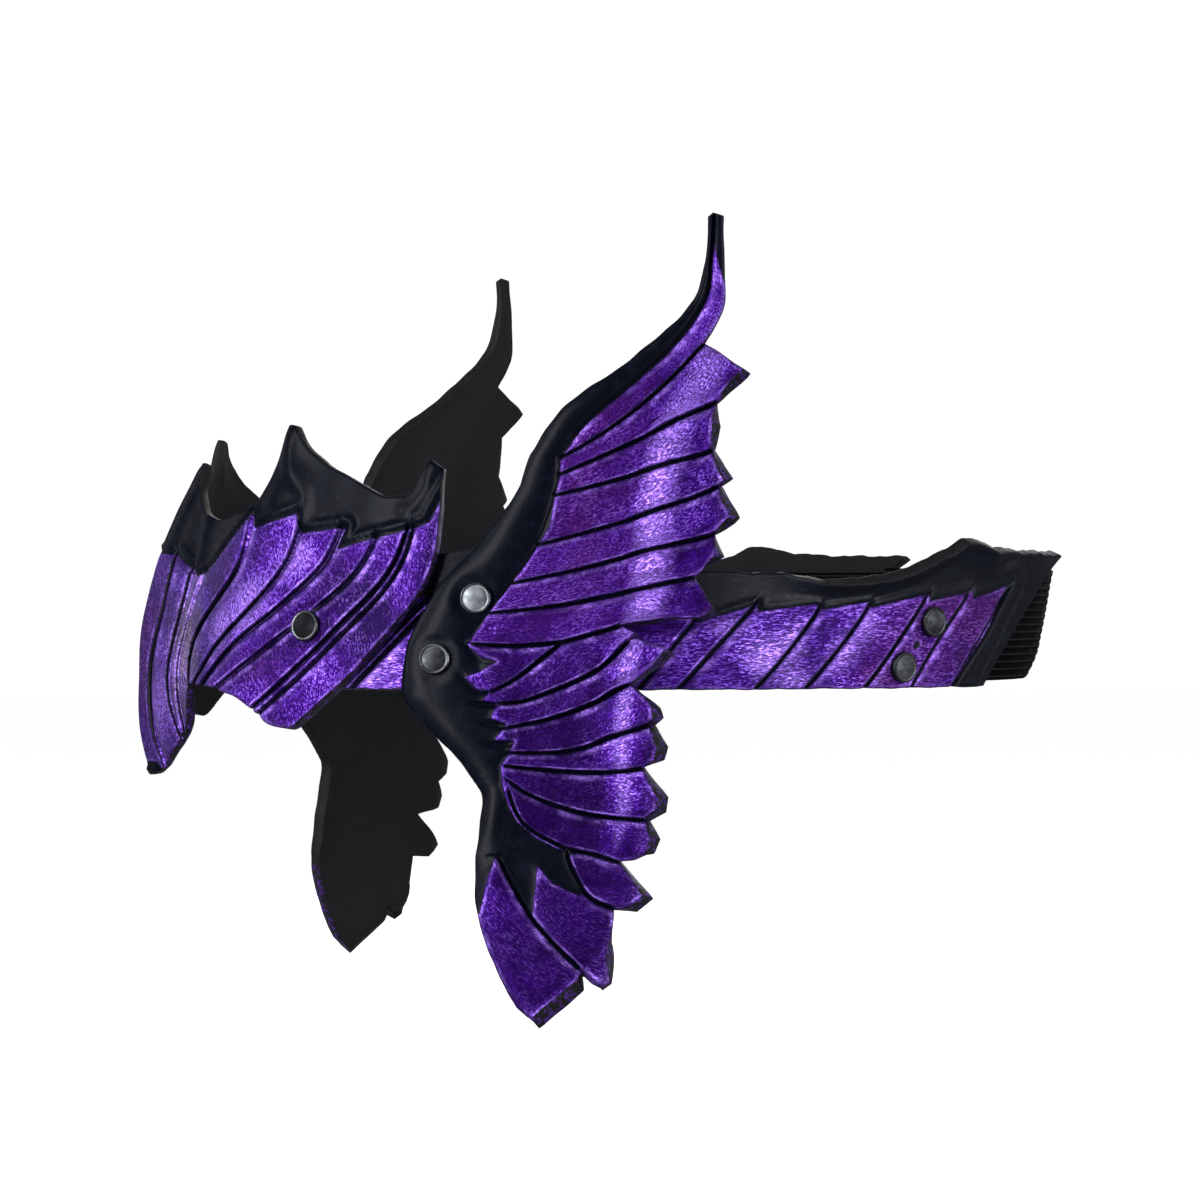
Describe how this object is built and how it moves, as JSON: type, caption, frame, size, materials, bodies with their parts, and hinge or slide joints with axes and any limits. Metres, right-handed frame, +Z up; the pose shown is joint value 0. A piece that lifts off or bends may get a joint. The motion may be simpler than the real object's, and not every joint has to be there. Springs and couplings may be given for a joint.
{
  "type": "leather masquerade crown",
  "caption": "Open leather headpiece with a beaked, horned brow plate, side bands, a carved feather wing on each side and an elastic strap behind.",
  "frame": {"origin": "middle of the head opening, level with the lower edge of the side bands", "axes": "+Z up, -X towards the wearer's front, -Y towards the wearer's left"},
  "size_m": [0.2071, 0.1836, 0.162],
  "materials": {
    "violet_leather": "carved leather dyed black and rubbed with metallic violet paint",
    "black_elastic": "ribbed woven elastic",
    "rivet_metal": "dark nickel plate"
  },
  "bodies": {
    "root": {"front_plate": "violet_leather", "band_left": "violet_leather", "band_right": "violet_leather", "wing_left": "violet_leather", "wing_right": "violet_leather", "elastic_strap": "black_elastic", "rivet_brow_left": "rivet_metal", "rivet_brow_right": "rivet_metal", "rivet_wing_upper_left": "rivet_metal", "rivet_wing_upper_right": "rivet_metal", "rivet_wing_lower_left": "rivet_metal", "rivet_wing_lower_right": "rivet_metal", "rivet_strap_upper_left": "rivet_metal", "rivet_strap_upper_right": "rivet_metal", "rivet_strap_lower_left": "rivet_metal", "rivet_strap_lower_right": "rivet_metal"}
  },
  "joints": []
}
